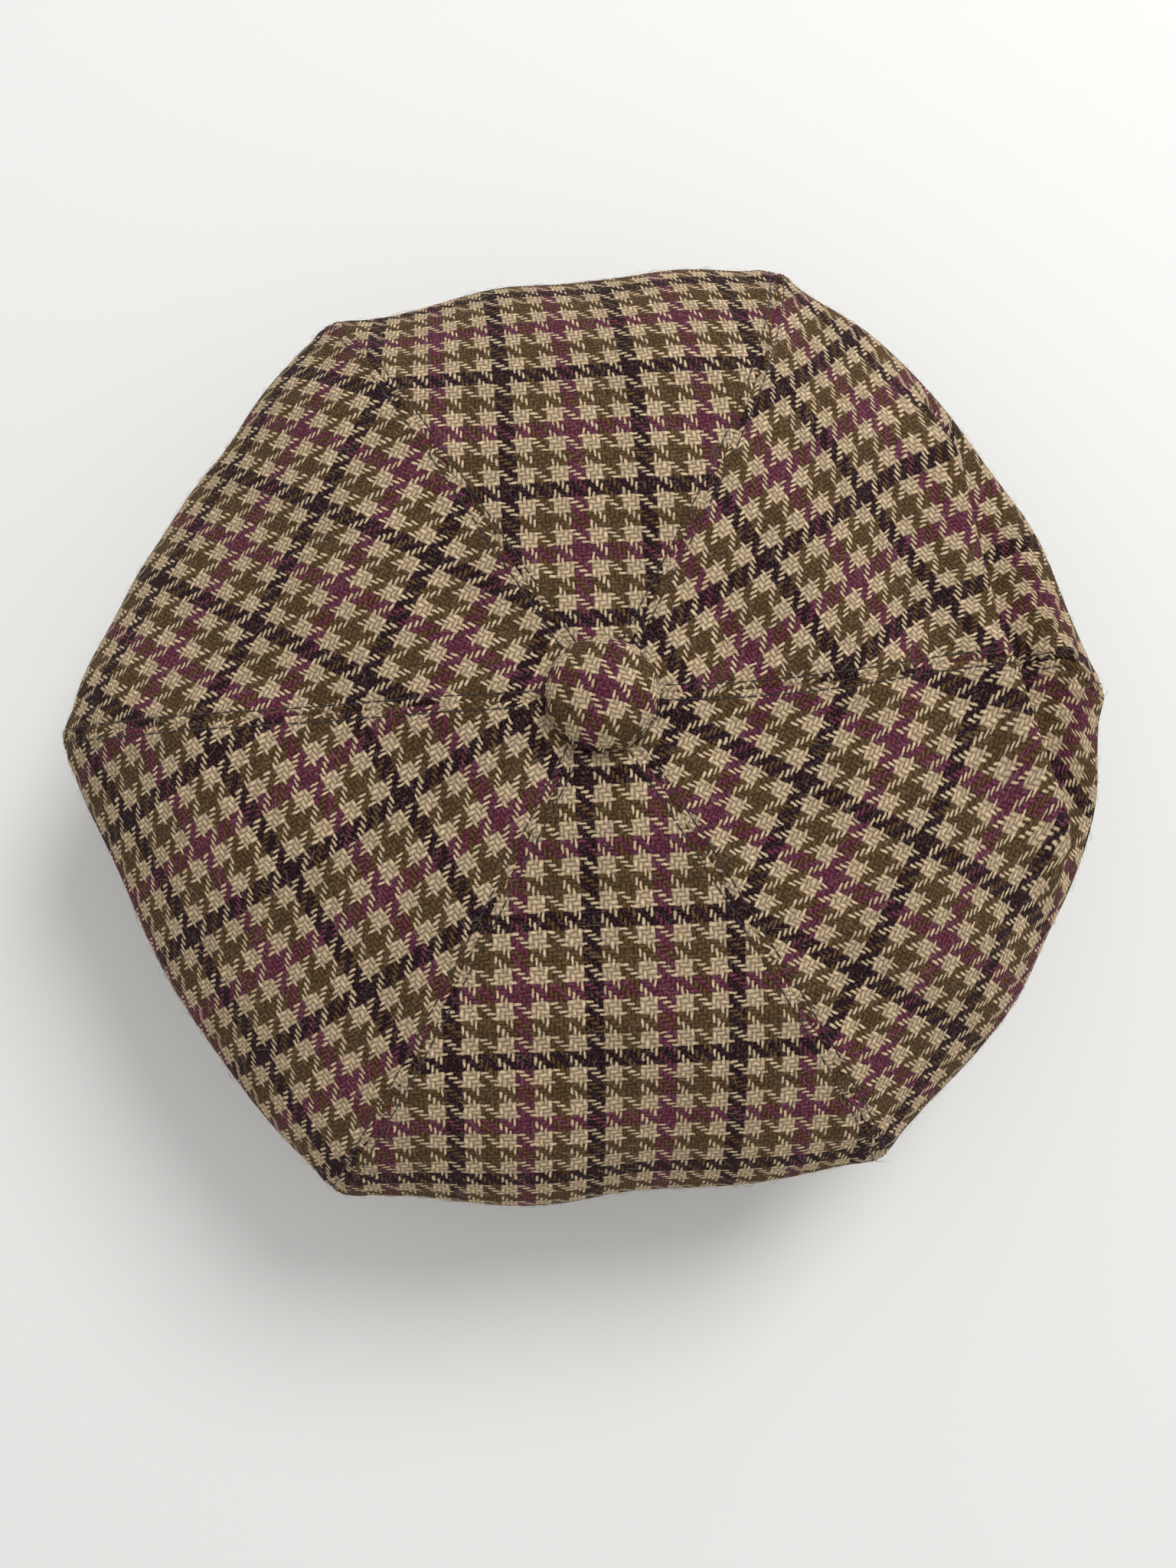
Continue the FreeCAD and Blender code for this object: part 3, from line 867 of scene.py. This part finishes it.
def peak_lines(inset, columns):
    """The peak's root and edge in plan, from tip to tip, each moved inwards by inset."""
    halves = (PEAK_ROOT[0] + inset, PEAK_ROOT[1] + inset)
    radius = PEAK_RADIUS - inset
    turns = np.radians(np.linspace(-90, 0, 2001))
    root = np.stack([halves[0] * np.cos(turns), halves[1] * np.sin(turns)], axis=-1)
    reach = np.hypot(root[:, 0], root[:, 1] - PEAK_MIDDLE)
    tip = int(np.argmax(reach > radius))
    end = turns[tip]
    tip_turn = math.atan2(root[tip, 1] - PEAK_MIDDLE, root[tip, 0])
    share = np.linspace(-0.985, 0.985, columns)
    root_turn = -math.pi / 2 + share * (end + math.pi / 2)
    edge_turn = -math.pi / 2 + share * (tip_turn + math.pi / 2)
    root = np.stack([halves[0] * np.cos(root_turn), halves[1] * np.sin(root_turn)], axis=-1)
    edge = np.stack([radius * np.cos(edge_turn), PEAK_MIDDLE + radius * np.sin(edge_turn)], axis=-1)
    return root, edge


def peak_slab(name, low, high, inset, relief_at):
    """A closed layer of the peak with rounded edges."""
    columns = 181
    root, edge = peak_lines(inset, columns)
    near = np.array([0, 0.1, 0.3, 0.6, 1.0, 1.6, 2.4]) * MM
    span = np.linalg.norm(edge - root, axis=-1)
    half = (high - low) / 2
    inner = np.linspace(0, 1, 26)[1:-1]
    shares = []
    for width in span:
        rim = near * min(1.0, width / (6 * MM))
        middle = rim[-1] + (width - 2 * rim[-1]) * inner
        shares.append(np.concatenate([rim, middle, width - rim[::-1]]) / width)
    shares = np.array(shares).T
    plan = root[None] + (edge - root)[None] * shares[..., None]
    from_rim = np.minimum(shares, 1 - shares) * span[None]
    swell = np.sqrt(1 - (1 - np.clip(from_rim / half, 0, 1)) ** 2)
    x, y = plan[..., 0], plan[..., 1]
    wave = relief_at(x, y, from_rim) * smooth(0, 3 * MM, from_rim)
    middle_height = (low + high) / 2
    top = peak_height(x, y, middle_height + half * swell) + wave
    under = peak_height(x, y, middle_height - half * swell) + wave
    upper = np.stack([x, y, top], axis=-1)
    lower = np.stack([x, y, under], axis=-1)[1:-1][::-1]
    loop = np.concatenate([upper, lower])
    uv = np.stack([loop[..., 0] / WARP_PITCH, loop[..., 1] / WEFT_PITCH], axis=-1)
    count = len(loop)
    faces = grid_faces(count, columns)
    last = (count - 1) * columns
    faces += [(last + c, last + c + 1, c + 1, c) for c in range(columns - 1)]
    faces.append(tuple(row * columns for row in range(count)))
    faces.append(tuple(row * columns + columns - 1 for row in range(count - 1, -1, -1)))
    return mesh_object(name, loop.reshape(-1, 3), faces, uv.reshape(-1, 2))


def join_peak(piece, material, node):
    """Finishes a piece of the peak: its material, its place baked into the mesh, and its CAD node hidden."""
    paint(piece, material)
    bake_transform(piece)
    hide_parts(node)


PEAK_STITCH_INSET = 5.3 * MM


def peak_cloth_relief(x, y, from_rim):
    stitched = -0.25 * MM * bump(from_rim - PEAK_STITCH_INSET, 0.7 * MM)
    return 0.12 * MM * waves(x, y, 16 * MM, 71) + stitched


def make_peak():
    top = peak_slab("peak_top_tweed", *PEAK_LAYERS["top"], 0, peak_cloth_relief)
    under = peak_slab("peak_under_tweed", *PEAK_LAYERS["under"], 0, peak_cloth_relief)
    board = peak_slab("peak_stiffener", *PEAK_LAYERS["board"], 2.5 * MM, lambda x, y, rim: 0 * x)
    for piece, node in ((top, "peak_top_cover"), (under, "peak_under_cover")):
        root, edge = peak_lines(0, 181)
        join_peak(piece, TWEED, node)
    join_peak(board, BOARD, "peak_board")
    root, edge = peak_lines(PEAK_STITCH_INSET, 600)
    line = edge[12:-12]
    height = peak_height(line[:, 0], line[:, 1], PEAK_LAYERS["top"][1]) - 0.2 * MM
    points = np.stack([line[:, 0], line[:, 1], height], axis=-1)
    paths = stitch_line(points, np.broadcast_to([0, 0, 1.0], points.shape))
    stitches = tubes("peak_stitches", paths, THREAD_RADIUS)
    join_peak(stitches, THREAD, "peak_topstitching")


make_peak()


# ---- Button ----

BUTTON_TURN = math.radians(20)
BUTTON_PLEATS = 15
BUTTON_CLOTH = 1.0 * MM
# The button's middle, in warp and weft threads: where the magenta lines cross.
BUTTON_CUT = (18, 17.5)


def make_button():
    """Tweed stretched over the shell and gathered under its edge."""
    radius = BUTTON_HIGH.x
    height = BUTTON_HIGH.z - BUTTON_LOW.z
    bends = np.radians(np.linspace(1.5, 90, 44))
    squareness = 2 / 2.5
    out = radius * np.sin(bends) ** squareness
    up = height * np.cos(bends) ** squareness
    tuck = np.linspace(0, 1, 8)[1:]
    out = np.concatenate([out, radius - 0.3 * MM - 2.6 * MM * tuck])
    up = np.concatenate([up, 0.1 * MM + 0 * tuck])
    up[43] = 0.5 * MM
    turns = np.radians(np.linspace(0, 360, 180, endpoint=False))
    run = np.concatenate([[out[0]], out[0] + np.cumsum(np.hypot(np.diff(out), np.diff(up)))])
    near_edge = smooth(11 * MM, 19 * MM, run)[:, None]
    pleats = np.sin(turns * BUTTON_PLEATS + 0.8 * np.sin(turns * 3)) * 0.32 * MM * near_edge
    plan_x, plan_y = np.cos(turns)[None] * out[:, None], np.sin(turns)[None] * out[:, None]
    dents = waves(plan_x, plan_y, 8 * MM, 41) * 0.1 * MM
    reach = out[:, None] + pleats
    x, y = reach * np.cos(turns), reach * np.sin(turns)
    z = BUTTON_LOW.z + up[:, None] + dents * (1 - near_edge)
    points = np.stack([x, y, z], axis=-1)
    flat_x = run[:, None] * np.cos(turns + BUTTON_TURN)
    flat_y = run[:, None] * np.sin(turns + BUTTON_TURN)
    uv = np.stack([-flat_y / WARP_PITCH + BUTTON_CUT[0], flat_x / WEFT_PITCH + BUTTON_CUT[1]], axis=-1)
    rows, columns = points.shape[:2]
    verts = np.concatenate([points.reshape(-1, 3), [[0, 0, BUTTON_HIGH.z]]])
    places = np.concatenate([uv.reshape(-1, 2), [BUTTON_CUT]])
    faces = [face[::-1] for face in grid_faces(rows, columns, closed=True)]
    top = rows * columns
    faces += [(top, column, (column + 1) % columns) for column in range(columns)]
    cover = mesh_object("button_tweed", verts, faces, places)
    thicken(cover, BUTTON_CLOTH)
    dress(cover, TWEED, "button")
    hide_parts("button_cover")


make_button()


# ---- Loose wool fibres ----


def make_fibres(count=4200):
    """Fine hairs that stand off the tweed."""
    draw = np.random.default_rng(RANDOM_SEED)
    travel = draw.uniform(0.08, 1.55, count)
    travel = np.where(draw.uniform(size=count) < travel, travel, draw.uniform(0.3, 1.2, count))
    angle = draw.uniform(0, 360, count)
    start = cloth_point(angle, travel)
    normal = outward(angle, travel, formed_point)
    heading = unit(np.cross(normal, draw.normal(size=(count, 3))))
    side = np.cross(normal, heading)
    length = draw.uniform(1.5, 5.0, count)[:, None] * MM
    rise = draw.uniform(0.15, 0.9, count)[:, None] * MM
    curl = draw.uniform(-0.6, 0.6, count)[:, None]
    paths = []
    for share in np.linspace(0, 1, 5):
        bend = math.sin(share * math.pi * 0.8)
        paths.append(
            start
            + heading * length * share
            + side * length * curl * share ** 2
            + normal * (rise * bend + (0.05 - 0.25 * share ** 3) * MM)
        )
    radii = np.array([0.035, 0.04, 0.035, 0.03, 0.012]) * MM
    fibres = tubes("crown_wool_fibres", np.stack(paths, axis=1), radii, sides=3)
    dress(fibres, WOOL, "cap")


make_fibres()


# ---- CAD nodes that keep their shape ----


KEPT_NODES = {
    "headband_buckram": BUCKRAM,
    "crown_tip_disc": BUCKRAM,
    "button_shell": METAL,
    "button_back_plate": METAL,
    "button_shank_thread": THREAD,
}

for node, material in KEPT_NODES.items():
    paint(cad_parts[node], material)


# ---- Stage ----


FLOOR_REACH = 6.0
FLOOR_GAP = 0.5 * MM


def make_stage():
    mesh = bpy.data.meshes.new("floor")
    corners = [(x * FLOOR_REACH, y * FLOOR_REACH, 0) for x, y in ((-1, -1), (1, -1), (1, 1), (-1, 1))]
    mesh.from_pydata(corners, [], [(0, 1, 2, 3)])
    floor = bpy.data.objects.new("floor", mesh)
    bpy.context.scene.collection.objects.link(floor)
    floor.location.z = BAND_LOW.z - FLOOR_GAP
    s = Shader("floor", roughness=0.9, specular=0.1)
    s.surface.inputs["Base Color"].default_value = srgb(236, 236, 234)
    mesh.materials.append(s.material)


def area_light(name, place, target, size, power):
    light = bpy.data.lights.new(name, "AREA")
    light.shape = "DISK"
    light.size = size
    light.energy = power
    lamp = bpy.data.objects.new(name, light)
    bpy.context.scene.collection.objects.link(lamp)
    lamp.location = place
    lamp.rotation_euler = (Vector(target) - Vector(place)).to_track_quat("-Z", "Y").to_euler()


def make_light():
    world = bpy.data.worlds.new("studio")
    world.use_nodes = True
    world.node_tree.nodes["Background"].inputs["Color"].default_value = (1.0, 1.0, 1.0, 1.0)
    world.node_tree.nodes["Background"].inputs["Strength"].default_value = 0.62
    bpy.context.scene.world = world
    area_light("key", (1.1, -0.9, 1.5), (0, 0, 0.05), 1.0, 26)
    bpy.context.scene.view_settings.view_transform = "Standard"


PICTURE_HEIGHT = 2048
FOCAL_PIXELS = 1538
CAMERA_DISTANCE = 340 * MM
CAMERA_TILT, CAMERA_LEAN, CAMERA_ROLL = -6.5, 1.2, 3.0
CAMERA_SHIFT = (2.6 * MM, 16.9 * MM)


def make_camera():
    """Looks down on the crown: the peak points to the picture's right, the wearer's left side is up."""
    data = bpy.data.cameras.new("camera")
    data.sensor_fit = "VERTICAL"
    data.sensor_height = 36
    data.lens = 36 * FOCAL_PIXELS / PICTURE_HEIGHT
    data.clip_start = 0.01
    camera = bpy.data.objects.new("camera", data)
    bpy.context.scene.collection.objects.link(camera)
    turn = (
        Matrix.Rotation(math.radians(CAMERA_LEAN), 3, "Y")
        @ Matrix.Rotation(math.radians(CAMERA_TILT), 3, "X")
        @ Matrix.Rotation(math.radians(CAMERA_ROLL), 3, "Z")
    )
    picture_axes = Matrix(((0, 1, 0), (-1, 0, 0), (0, 0, 1)))
    facing = picture_axes @ turn.transposed()
    place = facing @ Vector((-CAMERA_SHIFT[0], -CAMERA_SHIFT[1], CAMERA_DISTANCE))
    camera.matrix_world = Matrix.Translation(place + Vector((0, 0, RIM_HEIGHT))) @ facing.to_4x4()
    bpy.context.scene.camera = camera


make_stage()
make_light()
make_camera()
